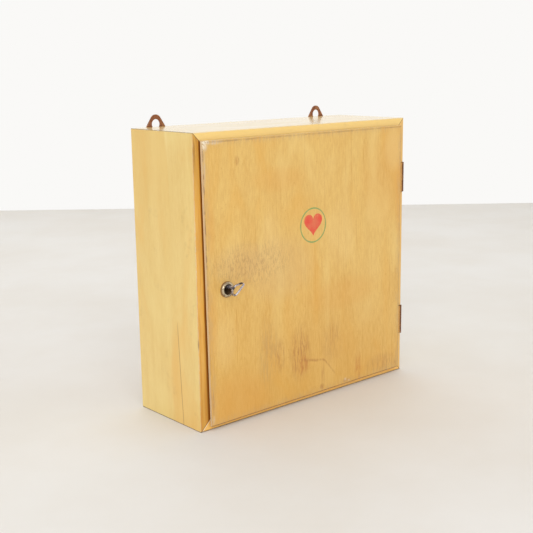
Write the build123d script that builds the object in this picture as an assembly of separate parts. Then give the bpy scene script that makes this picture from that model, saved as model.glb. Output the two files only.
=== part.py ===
from build123d import *

import math
import os

# A wooden wall cabinet with one lipped door, a cabinet lock and two hanging plates.
# Millimetres. X to the right, Y from the front to the back, Z up.
# The origin is the middle of the carcass's underside.

# How far a cut runs past the face that it opens
overcut = 1.0

# Carcass boards
cabinet_width = 400.0
cabinet_height = 400.0
cabinet_depth = 140.0
board_thickness = 18.0
board_arris = 0.6

# Mitre splines
spline_thickness = 3.0
spline_width = 9.0
spline_fit = 0.1
spline_inward = 2.8
spline_end_margin = 12.0

# Back panel and its pins
back_thickness = 4.0
back_lap = 9.0
back_clearance = 0.5
pins_per_side = 4
pin_length = 14.0
pin_head_radius = 1.6
pin_shank_radius = 0.7
pin_head_depth = 0.6

# Shelves on battens
shelf_thickness = 8.0
shelf_setback = 18.0
shelf_clearance = 0.5
shelf_nosing = 1.5
batten_thickness = 10.0
batten_height = 12.0
batten_front_inset = 7.0
batten_back_inset = 4.0
batten_pin_length = 19.0
batten_pin_inset = 18.0

# Door panel and the frame behind it
panel_thickness = 4.0
panel_margin_left = 10.0
panel_margin_right = 12.0
panel_margin_top = 10.5
panel_margin_bottom = 6.5
panel_foot_lean = 4.4
panel_foot_rise = 2.0
panel_rounding = 0.7
frame_depth = 12.0
frame_clearance = 2.0
stile_width = 44.0
rail_width = 34.0

# Door stops
stop_thickness = 12.0
stop_depth = 11.0
stop_height = 40.0
stop_gap = 0.3
stop_end_distance = 22.0

# Cranked butt hinges
hinge_length = 44.0
hinge_lower_height = 83.8
hinge_upper_drop = 89.8
knuckle_count = 5
knuckle_gap = 0.3
knuckle_radius = 1.6
knuckle_clearance = 0.3
leaf_thickness = 1.2
leaf_gap = 0.3
carcass_leaf_reach = 20.0
hinge_axis_inset = 1.7
hinge_pin_radius = 0.8
hinge_pin_fit = 0.05
hinge_pin_cap = 0.7
hinge_screws_per_leaf = 3
hinge_screw_end_inset = 7.5
hinge_screw_length = 12.0
hinge_screw_head_radius = 2.4
hinge_screw_shank_radius = 1.3

# Lock rosette
rosette_from_side = 44.5
rosette_height = 192.0
rosette_radius = 11.0
rosette_rise = 4.0
rosette_rim_height = 0.8
rosette_lip_height = 2.4
rosette_outer_bulge = 0.52
rosette_inner_bulge = 0.45
rosette_bore_radius = 6.6
rosette_sleeve_wall = 1.4
rosette_sleeve_length = 12.0
rosette_fit = 0.05
stile_bore_radius = 7.2

# Key: its axis stands a little off the rosette's middle
key_offset_x = 2.5
key_offset_z = 3.2
key_rest_angle = 42.0
key_shank_radius = 2.2
key_shank_fit = 0.05
key_bore_radius = 1.3
key_bore_depth = 14.0
bow_near = 10.0
bow_far = 25.8
bow_shoulder = 18.8
bow_near_width = 8.0
bow_width = 22.7
bow_wire_radius = 1.35
bow_corner = 3.0
bit_radius = 6.2
bit_thickness = 2.0
bit_width = 4.4
bit_clearance = 0.3

# Lock case, cover and drill pin
case_wall = 1.2
case_depth = 10.0
case_width = 44.0
case_below_key = 14.8
case_above_key = 19.2
case_flange = 9.0
cover_thickness = 1.0
post_radius = 2.3
post_corner_inset = 4.3
drill_pin_radius = 1.2
drill_pin_fit = 0.03
drill_pin_length = 12.6
guide_stud_radius = 1.5
guide_stud_from_left = 15.0
guide_stud_length = 6.5
case_screw_length = 11.0
case_screw_head_radius = 2.8
case_screw_shank_radius = 1.4
case_screw_side_inset = 6.0
cover_screw_length = 6.0
cover_screw_head_radius = 1.9
cover_screw_shank_radius = 1.0

# Bolt and its spring
bolt_thickness = 4.0
bolt_height = 10.0
bolt_length = 37.0
bolt_throw = 7.0
bolt_above_key = 3.2
bolt_clearance = 0.3
bolt_rest_inset = 0.2
bolt_nose_radius = 0.8
talon_near = 1.2
talon_far = 5.9
talon_depth = 3.6
spring_thickness = 0.5
spring_width = 3.4
spring_length = 32.0
spring_seat_gap = 0.3

# Strike plate
strike_thickness = 1.2
strike_width = 14.0
strike_end_margin = 17.0
strike_clearance = 1.0
mortise_clearance = 1.6
mortise_depth = 6.4
strike_screw_inset = 6.5

# Hanging plates
hanger_thickness = 1.8
hanger_left_from_side = 42.0
hanger_right_from_side = 50.0
hanger_hole_radius = 6.9
hanger_hole_rise = 3.6
hanger_crown_radius = 8.8
hanger_crown_rise = 8.0
hanger_ear_radius = 5.5
hanger_ear_offset = 17.8
hanger_ear_drop = 13.0
hanger_screw_length = 12.0

# Screws in wood
screw_fit = 0.05
screw_slot_width = 0.6
screw_slot_depth = 0.6
screw_tip = 3.0

# Places worked out from the sizes above
side_left = -cabinet_width / 2
side_right = cabinet_width / 2
front_face = -cabinet_depth / 2
back_face = cabinet_depth / 2
inner_left = side_left + board_thickness
inner_right = side_right - board_thickness
inner_bottom = board_thickness
inner_top = cabinet_height - board_thickness
back_inner_face = back_face - back_thickness

door_standoff = 2 * leaf_thickness + leaf_gap
panel_back = front_face - door_standoff
panel_front = panel_back - panel_thickness
panel_left = side_left + panel_margin_left
panel_right = side_right - panel_margin_right
panel_bottom = panel_margin_bottom
panel_top = cabinet_height - panel_margin_top
frame_back = panel_back + frame_depth
frame_left = inner_left + frame_clearance
frame_right = inner_right - 2 * leaf_thickness - leaf_gap
frame_bottom = inner_bottom + frame_clearance
frame_top = inner_top - frame_clearance

hinge_x = side_right - hinge_axis_inset
hinge_y = front_face - door_standoff / 2
hinge_heights = {"lower": hinge_lower_height, "upper": cabinet_height - hinge_upper_drop}

rosette_x = side_left + rosette_from_side
key_x = rosette_x + key_offset_x
key_z = rosette_height + key_offset_z
case_left = frame_left
case_right = case_left + case_width
case_bottom = key_z - case_below_key
case_top = key_z + case_above_key
case_front_inside = frame_back + case_wall
case_back = frame_back + case_depth
bolt_bottom = key_z + bolt_above_key
bolt_top = bolt_bottom + bolt_height
bolt_front = case_front_inside + bolt_clearance
bolt_left = case_left + bolt_rest_inset

shelf_front = front_face + shelf_setback
shelf_back = back_inner_face - shelf_clearance
shelf_pitch = (inner_top - inner_bottom - 2 * shelf_thickness) / 3
shelf_undersides = {
    "lower": inner_bottom + shelf_pitch,
    "upper": inner_bottom + 2 * shelf_pitch + shelf_thickness,
}
batten_front = shelf_front + batten_front_inset
batten_back = back_inner_face - batten_back_inset

hanger_places = {
    "left": side_left + hanger_left_from_side,
    "right": side_right - hanger_right_from_side,
}


# Helpers


def block(x, y, z):
    """A box between two values along each axis."""
    middle = Pos((x[0] + x[1]) / 2, (y[0] + y[1]) / 2, (z[0] + z[1]) / 2)
    return middle * Box(x[1] - x[0], y[1] - y[0], z[1] - z[0])


def rod(radius, start, end):
    """A round rod from one point to another."""
    path = Vector(*end) - Vector(*start)
    plane = Plane(origin=start, z_dir=path)
    return extrude(plane * Circle(radius), amount=path.length)


def upright_prism(outline, y_front, y_back):
    """A prism whose outline of X and Z values runs from one depth to another."""
    face = Plane.XZ.offset(-y_back) * make_face(Polyline(*outline, close=True))
    return extrude(face, amount=y_back - y_front)


def turned(profile):
    """A turned piece: radius and height pairs swung about the Z axis."""
    face = Plane.XZ * make_face(Polyline(*profile, close=True))
    return revolve(face, axis=Axis.Z)


def countersunk_screw(head_radius, shank_radius, length):
    """A slotted screw with its head's top at the origin, pointing down."""
    head_depth = head_radius - shank_radius
    profile = [
        (0, 0),
        (head_radius, 0),
        (shank_radius, -head_depth),
        (shank_radius, -(length - screw_tip)),
        (0, -length),
    ]
    slot = block(
        (-head_radius - overcut, head_radius + overcut),
        (-screw_slot_width / 2, screw_slot_width / 2),
        (-screw_slot_depth, overcut),
    )
    return turned(profile) - slot


def countersunk_hole(head_radius, shank_radius, length):
    """The hole that the screw of the same sizes sits in."""
    head_depth = head_radius - shank_radius
    profile = [
        (0, overcut),
        (head_radius + screw_fit, overcut),
        (head_radius + screw_fit, 0),
        (shank_radius + screw_fit, -head_depth),
        (shank_radius + screw_fit, -(length - screw_tip)),
        (0, -length - screw_fit),
    ]
    return turned(profile)


def flat_pin(length):
    """A panel pin with its head's top at the origin, pointing down."""
    profile = [
        (0, 0),
        (pin_head_radius, 0),
        (pin_head_radius, -pin_head_depth),
        (pin_shank_radius, -pin_head_depth),
        (pin_shank_radius, -(length - 2 * pin_shank_radius)),
        (0, -length),
    ]
    return turned(profile)


def flat_pin_hole(length):
    """The hole that the pin of the same length sits in."""
    profile = [
        (0, overcut),
        (pin_head_radius + screw_fit, overcut),
        (pin_head_radius + screw_fit, -pin_head_depth),
        (pin_shank_radius + screw_fit, -pin_head_depth),
        (pin_shank_radius + screw_fit, -(length - 2 * pin_shank_radius)),
        (0, -length - screw_fit),
    ]
    return turned(profile)


def placed(piece, point, direction):
    """Puts a screw, pin or hole with its head at a point and its tip along a direction."""
    back = (-direction[0], -direction[1], -direction[2])
    return Plane(origin=point, z_dir=back).location * piece


def spread(low, high, count):
    """Evenly spaced places, half a step in from both ends."""
    step = (high - low) / count
    return [low + step * (i + 0.5) for i in range(count)]


def save(node, *solids):
    """Writes one node, from one solid or from a group of separate solids."""
    shape = solids[0] if len(solids) == 1 else Compound(list(solids))
    export_step(shape, f"parts/{node}.step")


# Carcass


def corner_frames():
    """The four corners: the outer corner and the way in along X and Z."""
    return [
        (side_left, 0, 1, 1),
        (side_right, 0, -1, 1),
        (side_right, cabinet_height, -1, -1),
        (side_left, cabinet_height, 1, -1),
    ]


def spline_solid(corner, fit):
    """A feather across a mitre, as a slanted bar, larger by the fit on every side."""
    x, z, to_x, to_z = corner
    middle_in = board_thickness / 2 + spline_inward / math.sqrt(2)
    angle = -45 if to_x * to_z > 0 else 45
    front = front_face + spline_end_margin - fit
    back = back_inner_face - spline_end_margin + fit
    bar = Box(spline_width + 2 * fit, back - front, spline_thickness + 2 * fit)
    place = Pos(x + to_x * middle_in, (front + back) / 2, z + to_z * middle_in)
    return place * Rot(Y=-angle) * bar


def back_pin_places():
    """Pin places round the back panel, at the top between the hanging plates."""
    edge = board_thickness - back_lap / 2
    plate_half = hanger_ear_offset + hanger_ear_radius
    top_span = (hanger_places["left"] + plate_half, hanger_places["right"] - plate_half)
    places = [(x, cabinet_height - edge) for x in spread(*top_span, pins_per_side)]
    places += [(x, edge) for x in spread(inner_left, inner_right, pins_per_side)]
    up = spread(inner_bottom, inner_top, pins_per_side)
    places += [(x, z) for x in (side_left + edge, side_right - edge) for z in up]
    return [(x, back_face, z) for x, z in places]


def back_pins(piece):
    return [placed(piece, place, (0, -1, 0)) for place in back_pin_places()]


def carcass_board(outline):
    """One mitred board with the rebate for the back panel and the spline grooves."""
    board = upright_prism(outline, front_face, back_face)
    lap = board_thickness - back_lap
    board -= block(
        (side_left + lap, side_right - lap),
        (back_inner_face, back_face + overcut),
        (lap, cabinet_height - lap),
    )
    for corner in corner_frames():
        board -= spline_solid(corner, spline_fit)
    for hole in back_pins(flat_pin_hole(pin_length)):
        board -= hole
    return board


def round_outer_arrises(board, axis):
    """Takes the sharpness off a board's two long outer edges."""
    edges = board.edges().filter_by(Axis.X if axis == "x" else Axis.Z)
    length = cabinet_width if axis == "x" else cabinet_height
    outer = [edge for edge in edges if abs(edge.length - length) < 0.01]
    return chamfer(outer, board_arris)


def side_panel_left():
    outline = [
        (side_left, 0),
        (side_left, cabinet_height),
        (inner_left, inner_top),
        (inner_left, inner_bottom),
    ]
    board = round_outer_arrises(carcass_board(outline), "z")
    board -= strike_recess() + bolt_mortise()
    for hole in strike_screws(strike_hole()):
        board -= hole
    for hole in batten_pins(flat_pin_hole(batten_pin_length), "left"):
        board -= hole
    return board


def side_panel_right():
    outline = [
        (side_right, 0),
        (inner_right, inner_bottom),
        (inner_right, inner_top),
        (side_right, cabinet_height),
    ]
    board = round_outer_arrises(carcass_board(outline), "z")
    for middle in hinge_heights.values():
        board -= knuckle_groove(middle)
        for hole in carcass_leaf_screws(middle, hinge_screw_hole()):
            board -= hole
    for hole in batten_pins(flat_pin_hole(batten_pin_length), "right"):
        board -= hole
    return board


def bottom_panel():
    outline = [
        (side_left, 0),
        (inner_left, inner_bottom),
        (inner_right, inner_bottom),
        (side_right, 0),
    ]
    return round_outer_arrises(carcass_board(outline), "x")


def top_panel():
    outline = [
        (side_left, cabinet_height),
        (side_right, cabinet_height),
        (inner_right, inner_top),
        (inner_left, inner_top),
    ]
    board = round_outer_arrises(carcass_board(outline), "x")
    for x in hanger_places.values():
        for hole in hanger_screws(x, hanger_screw_hole()):
            board -= hole
    return board


def back_panel():
    lap = board_thickness - back_lap + back_clearance
    panel = block(
        (side_left + lap, side_right - lap),
        (back_inner_face, back_face),
        (lap, cabinet_height - lap),
    )
    for hole in back_pins(flat_pin_hole(pin_length)):
        panel -= hole
    for x in hanger_places.values():
        for hole in hanger_screws(x, hanger_screw_hole()):
            panel -= hole
    return panel


def shelf(underside):
    board = block(
        (inner_left + shelf_clearance, inner_right - shelf_clearance),
        (shelf_front, shelf_back),
        (underside, underside + shelf_thickness),
    )
    nosing = board.edges().filter_by(Axis.X).group_by(Axis.Y)[0]
    return fillet(nosing, shelf_nosing)


def batten_pin_places(side, underside):
    """Two pins through each batten, in from its ends."""
    x = inner_left + batten_thickness if side == "left" else inner_right - batten_thickness
    z = underside - batten_height / 2
    return [(x, y, z) for y in (batten_front + batten_pin_inset, batten_back - batten_pin_inset)]


def batten_pins(piece, side):
    way = (-1, 0, 0) if side == "left" else (1, 0, 0)
    places = [p for u in shelf_undersides.values() for p in batten_pin_places(side, u)]
    return [placed(piece, place, way) for place in places]


def batten(side, underside):
    x = (inner_left, inner_left + batten_thickness)
    if side == "right":
        x = (inner_right - batten_thickness, inner_right)
    bar = block(x, (batten_front, batten_back), (underside - batten_height, underside))
    for hole in batten_pins(flat_pin_hole(batten_pin_length), side):
        bar -= hole
    return bar


def door_stop(bottom):
    front = frame_back + stop_gap
    return block(
        (inner_left, inner_left + stop_thickness),
        (front, front + stop_depth),
        (bottom, bottom + stop_height),
    )


# Door


def door_panel():
    """The door's face, a little out of true: its left edge leans in at the foot, which rises to the right."""
    outline = [
        (panel_left, panel_top),
        (panel_left + panel_foot_lean, panel_bottom),
        (panel_right, panel_bottom + panel_foot_rise),
        (panel_right, panel_top),
    ]
    panel = upright_prism(outline, panel_front, panel_back)
    rim = panel.edges().group_by(Axis.Y)[0]
    panel = fillet(rim, panel_rounding)
    return panel - rosette_hole()


def lap_cut(x, z, front):
    """Half of the frame's depth over one corner, for a half-lap joint."""
    middle = (panel_back + frame_back) / 2
    y = (panel_back, middle) if front else (middle, frame_back)
    return block(x, y, z)


def door_stile(side):
    """An upright of the door's frame, with its back half cut away where the rails lap."""
    x = (frame_left, frame_left + stile_width)
    if side == "right":
        x = (frame_right - stile_width, frame_right)
    stile = block(x, (panel_back, frame_back), (frame_bottom, frame_top))
    stile -= lap_cut(x, (frame_bottom, frame_bottom + rail_width), False)
    stile -= lap_cut(x, (frame_top - rail_width, frame_top), False)
    if side == "left":
        stile -= rosette_hole() + stile_bore()
        for hole in case_screws(case_screw_hole()):
            stile -= hole
    else:
        for middle in hinge_heights.values():
            for hole in door_leaf_screws(middle, hinge_screw_hole()):
                stile -= hole
    return stile


def door_rail(bottom):
    """A crosspiece of the door's frame, with its front half cut away over the stiles."""
    z = (bottom, bottom + rail_width)
    rail = block((frame_left, frame_right), (panel_back, frame_back), z)
    rail -= lap_cut((frame_left, frame_left + stile_width), z, True)
    rail -= lap_cut((frame_right - stile_width, frame_right), z, True)
    return rail


# Hinges


def knuckle_spans(middle):
    """The height of each knuckle from the bottom up."""
    pitch = (hinge_length + knuckle_gap) / knuckle_count
    low = middle - hinge_length / 2
    return [(low + i * pitch, low + (i + 1) * pitch - knuckle_gap) for i in range(knuckle_count)]


def axis_rod(radius, low, high):
    return rod(radius, (hinge_x, hinge_y, low), (hinge_x, hinge_y, high))


def knuckle_groove(middle):
    """The hollow in the carcass's front corner that the knuckles lie in."""
    reach = hinge_length / 2 + hinge_pin_cap + knuckle_clearance
    return axis_rod(knuckle_radius + knuckle_clearance, middle - reach, middle + reach)


def hinge_leaf(middle, own, plate):
    """Joins a plate to its own knuckles, clears the others and bores it for the pin."""
    leaf = plate
    for i, (low, high) in enumerate(knuckle_spans(middle)):
        if i % 2 == own:
            leaf += axis_rod(knuckle_radius, low, high)
        else:
            room = knuckle_radius + knuckle_clearance
            leaf -= axis_rod(room, low - knuckle_gap, high + knuckle_gap)
    half = hinge_length / 2 + overcut
    return leaf - axis_rod(hinge_pin_radius + hinge_pin_fit, middle - half, middle + half)


def hinge_screw_heights(middle):
    end = hinge_length / 2 - hinge_screw_end_inset
    gaps = hinge_screws_per_leaf - 1
    return [middle - end + 2 * end * i / gaps for i in range(hinge_screws_per_leaf)]


def hinge_screw():
    return countersunk_screw(hinge_screw_head_radius, hinge_screw_shank_radius, hinge_screw_length)


def hinge_screw_hole():
    return countersunk_hole(hinge_screw_head_radius, hinge_screw_shank_radius, hinge_screw_length)


def carcass_leaf_screws(middle, piece):
    """Screws through the leaf on the side panel's inner face."""
    x = inner_right - leaf_thickness
    y = front_face + carcass_leaf_reach / 2
    return [placed(piece, (x, y, z), (1, 0, 0)) for z in hinge_screw_heights(middle)]


def door_leaf_screws(middle, piece):
    """Screws through the leaf on the door frame's edge."""
    x = frame_right + leaf_thickness
    y = (panel_back + frame_back) / 2
    return [placed(piece, (x, y, z), (-1, 0, 0)) for z in hinge_screw_heights(middle)]


def carcass_leaf(middle):
    """Cranked round the side panel: across its front edge and along its inner face."""
    z = (middle - hinge_length / 2, middle + hinge_length / 2)
    x_in = inner_right - leaf_thickness
    plate = block((x_in, hinge_x), (front_face - leaf_thickness, front_face), z)
    y = (front_face - leaf_thickness, front_face + carcass_leaf_reach)
    plate += block((x_in, inner_right), y, z)
    leaf = hinge_leaf(middle, 0, plate)
    for hole in carcass_leaf_screws(middle, hinge_screw_hole()):
        leaf -= hole
    return leaf


def door_leaf(middle):
    """Cranked round the door's frame: behind the panel's lip and along the frame's edge."""
    z = (middle - hinge_length / 2, middle + hinge_length / 2)
    plate = block((frame_right, hinge_x), (panel_back, panel_back + leaf_thickness), z)
    plate += block((frame_right, frame_right + leaf_thickness), (panel_back, frame_back), z)
    leaf = hinge_leaf(middle, 1, plate)
    for hole in door_leaf_screws(middle, hinge_screw_hole()):
        leaf -= hole
    return leaf


def hinge_pin(middle):
    """A pin through all the knuckles, with a low cap at each end."""
    low = middle - hinge_length / 2
    high = middle + hinge_length / 2
    pin = axis_rod(hinge_pin_radius, low - hinge_pin_cap, high + hinge_pin_cap)
    pin += axis_rod(knuckle_radius, high, high + hinge_pin_cap)
    pin += axis_rod(knuckle_radius, low - hinge_pin_cap, low)
    return pin


# Lock


def rosette_hole():
    """The hole through the panel and into the stile for the rosette's sleeve."""
    radius = rosette_bore_radius + rosette_sleeve_wall + rosette_fit
    start = (rosette_x, panel_front - overcut, rosette_height)
    end = (rosette_x, panel_front + rosette_sleeve_length + rosette_fit, rosette_height)
    return rod(radius, start, end)


def stile_bore():
    """The rest of the way through the stile, for the key."""
    start = (rosette_x, panel_front, rosette_height)
    return rod(stile_bore_radius, start, (rosette_x, frame_back + overcut, rosette_height))


def lock_rosette():
    """A domed ring with a sleeve, turned about its own axis."""
    sleeve = rosette_bore_radius + rosette_sleeve_wall
    crown = ((rosette_bore_radius + rosette_radius) / 2, rosette_rise)
    rim = Polyline(
        (rosette_bore_radius, rosette_lip_height),
        (rosette_bore_radius, -rosette_sleeve_length),
        (sleeve, -rosette_sleeve_length),
        (sleeve, 0),
        (rosette_radius, 0),
        (rosette_radius, rosette_rim_height),
    )
    outer = SagittaArc(rim @ 1, crown, -rosette_outer_bulge)
    inner = SagittaArc(crown, rim @ 0, -rosette_inner_bulge)
    ring = revolve(Plane.XZ * make_face([*rim.edges(), *outer.edges(), *inner.edges()]), axis=Axis.Z)
    return Plane(origin=(rosette_x, panel_front, rosette_height), z_dir=(0, -1, 0)).location * ring


def key_rod(radius, y_front, y_back):
    return rod(radius, (key_x, y_front, key_z), (key_x, y_back, key_z))


def lock_key():
    """A pipe key. It is drawn with its bow and bit along X and then turned to its rest angle."""
    tip = case_back - bolt_clearance
    near = panel_front - bow_near
    far = panel_front - bow_far
    shoulder = panel_front - bow_shoulder
    half = bow_width / 2 - bow_wire_radius
    narrow = bow_near_width / 2
    corners = [
        (-narrow, near - bow_wire_radius),
        (narrow, near - bow_wire_radius),
        (half, shoulder),
        (half, far + bow_wire_radius),
        (-half, far + bow_wire_radius),
        (-half, shoulder),
    ]
    path = FilletPolyline(*corners, radius=bow_corner, close=True)
    section = Plane(origin=path @ 0, z_dir=path % 0) * Circle(bow_wire_radius)
    bow = sweep(section, path=path)
    shank = rod(key_shank_radius, (0, near - bow_wire_radius, 0), (0, tip, 0))
    y = (case_front_inside + bolt_clearance, case_front_inside + bolt_clearance + bit_width)
    bit = block((0, bit_radius), y, (-bit_thickness / 2, bit_thickness / 2))
    bore = rod(key_bore_radius, (0, tip - key_bore_depth, 0), (0, tip + overcut, 0))
    return Pos(key_x, 0, key_z) * Rot(Y=-key_rest_angle) * (bow + shank + bit - bore)


def keyhole():
    """The way in for the key: a round hole, and a slot below it for the bit."""
    y = (frame_back - overcut, case_front_inside + overcut)
    half = bit_thickness / 2 + bit_clearance
    slot = block((key_x - half, key_x + half), y, (key_z - bit_radius - bit_clearance, key_z))
    return key_rod(key_shank_radius + key_shank_fit, *y) + slot


def post_places():
    """The two posts that the cover is screwed to."""
    z = case_bottom + post_corner_inset
    return [(case_left + post_corner_inset, z), (case_right - post_corner_inset, z)]


def lock_case():
    """An open box on a wider plate, with two posts, a guide stud, a keyhole and a bolt slot."""
    x = (case_left, case_right)
    z = (case_bottom, case_top)
    plate_z = (case_bottom - case_flange, case_top + case_flange)
    case = block(x, (frame_back, case_front_inside), plate_z)
    case += block(x, (frame_back, case_back), z)
    case -= block(
        (x[0] + case_wall, x[1] - case_wall),
        (case_front_inside, case_back + overcut),
        (z[0] + case_wall, z[1] - case_wall),
    )
    for post_x, post_z in post_places():
        case += rod(post_radius, (post_x, frame_back, post_z), (post_x, case_back, post_z))
    stud_x = case_left + guide_stud_from_left
    stud_z = bolt_bottom + bolt_height / 2
    stud_end = case_front_inside + guide_stud_length
    case += rod(guide_stud_radius, (stud_x, frame_back, stud_z), (stud_x, stud_end, stud_z))
    case -= keyhole()
    case -= bolt_passage(x[0] - overcut, x[0] + case_wall + overcut, bolt_clearance / 2)
    for hole in case_screws(case_screw_hole()) + cover_screws(cover_screw_hole()):
        case -= hole
    return case


def bolt_passage(x_low, x_high, clearance):
    """A slot with the bolt's section and a clearance all round."""
    return block(
        (x_low, x_high),
        (bolt_front - clearance, bolt_front + bolt_thickness + clearance),
        (bolt_bottom - clearance, bolt_top + clearance),
    )


def case_screw_hole():
    return countersunk_hole(case_screw_head_radius, case_screw_shank_radius, case_screw_length)


def case_screws(piece):
    """Four screws through the plate's upper and lower flanges into the stile."""
    xs = (case_left + case_screw_side_inset, case_right - case_screw_side_inset)
    zs = (case_bottom - case_flange / 2, case_top + case_flange / 2)
    return [placed(piece, (x, case_front_inside, z), (0, -1, 0)) for x in xs for z in zs]


def cover_screw_hole():
    return countersunk_hole(cover_screw_head_radius, cover_screw_shank_radius, cover_screw_length)


def cover_screws(piece):
    outside = case_back + cover_thickness
    return [placed(piece, (x, outside, z), (0, -1, 0)) for x, z in post_places()]


def lock_cover():
    y = (case_back, case_back + cover_thickness)
    cover = block((case_left, case_right), y, (case_bottom, case_top))
    cover -= key_rod(drill_pin_radius + drill_pin_fit, y[0] - overcut, y[1] + overcut)
    for hole in cover_screws(cover_screw_hole()):
        cover -= hole
    return cover


def lock_drill_pin():
    """The pin that the key's bore slides over, held in the cover."""
    back = case_back + cover_thickness
    return key_rod(drill_pin_radius, back - drill_pin_length, back)


def lock_bolt():
    """A flat bolt with a talon for the bit and a slot for the guide stud, drawn back at rest."""
    x = (bolt_left, bolt_left + bolt_length)
    y = (bolt_front, bolt_front + bolt_thickness)
    bolt = block(x, y, (bolt_bottom, bolt_top))
    talon_x = (key_x + talon_near, key_x + talon_far)
    cut_y = (y[0] - overcut, y[1] + overcut)
    bolt -= block(talon_x, cut_y, (bolt_bottom - overcut, bolt_bottom + talon_depth))
    room = guide_stud_radius + bolt_clearance
    stud_x = case_left + guide_stud_from_left
    slot_x = (stud_x - room, stud_x + bolt_throw + room)
    middle = bolt_bottom + bolt_height / 2
    bolt -= block(slot_x, cut_y, (middle - room, middle + room))
    lead = bolt.edges().filter_by(Axis.Z).group_by(Axis.X)[0]
    return fillet(lead, bolt_nose_radius)


def lock_spring():
    """A bowed strip between the case's top wall and the bolt."""
    ceiling = case_top - case_wall - spring_seat_gap
    low = bolt_top + bolt_clearance
    middle = (case_left + case_right) / 2
    half = spring_length / 2
    upper = ThreePointArc((-half, ceiling), (0, low + spring_thickness), (half, ceiling))
    lower = ThreePointArc(
        (-half, ceiling - spring_thickness), (0, low), (half, ceiling - spring_thickness)
    )
    ends = [Line(upper @ i, lower @ i) for i in (0, 1)]
    face = make_face([*upper.edges(), *lower.edges(), *ends[0].edges(), *ends[1].edges()])
    back = bolt_front + bolt_thickness / 2 + spring_width / 2
    strip = extrude(Plane.XZ.offset(-back) * face, amount=spring_width)
    return Pos(middle, 0, 0) * strip


# Strike


def strike_spans():
    """The strike plate's depth and height, about the bolt."""
    y_middle = bolt_front + bolt_thickness / 2
    y = (y_middle - strike_width / 2, y_middle + strike_width / 2)
    return y, (bolt_bottom - strike_end_margin, bolt_top + strike_end_margin)


def strike_recess():
    y, z = strike_spans()
    return block((inner_left - strike_thickness, inner_left + overcut), y, z)


def bolt_mortise():
    """The blind hole behind the strike plate that the bolt is thrown into."""
    deep = inner_left - strike_thickness - mortise_depth
    return bolt_passage(deep, inner_left, mortise_clearance)


def strike_plate():
    y, z = strike_spans()
    x = (inner_left - strike_thickness, inner_left)
    plate = block(x, y, z) - bolt_passage(x[0] - overcut, x[1] + overcut, strike_clearance)
    for hole in strike_screws(strike_hole()):
        plate -= hole
    return plate


def strike_hole():
    return countersunk_hole(hinge_screw_head_radius, hinge_screw_shank_radius, hinge_screw_length)


def strike_screws(piece):
    y, z = strike_spans()
    middle = (y[0] + y[1]) / 2
    heights = (z[0] + strike_screw_inset, z[1] - strike_screw_inset)
    return [placed(piece, (inner_left, middle, height), (-1, 0, 0)) for height in heights]


# Hanging plates


def hanger_screw_hole():
    return countersunk_hole(hinge_screw_head_radius, hinge_screw_shank_radius, hanger_screw_length)


def hanger_screws(x, piece):
    """Three screws along the foot of the plate."""
    y = back_face + hanger_thickness
    z = cabinet_height - hanger_ear_drop
    offsets = (-hanger_ear_offset, 0, hanger_ear_offset)
    return [placed(piece, (x + offset, y, z), (0, -1, 0)) for offset in offsets]


def hanger(x):
    """A rounded triangle standing above the top, with a round hole to hang it by."""
    crown = Pos(0, cabinet_height + hanger_crown_rise) * Circle(hanger_crown_radius)
    ears = [
        Pos(offset, cabinet_height - hanger_ear_drop) * Circle(hanger_ear_radius)
        for offset in (-hanger_ear_offset, hanger_ear_offset)
    ]
    outline = make_hull([*crown.edges(), *ears[0].edges(), *ears[1].edges()])
    outline -= Pos(0, cabinet_height + hanger_hole_rise) * Circle(hanger_hole_radius)
    back = back_face + hanger_thickness
    plate = Pos(x, 0, 0) * extrude(Plane.XZ.offset(-back) * outline, amount=hanger_thickness)
    for hole in hanger_screws(x, hanger_screw_hole()):
        plate -= hole
    return plate


# Everything together


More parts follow.
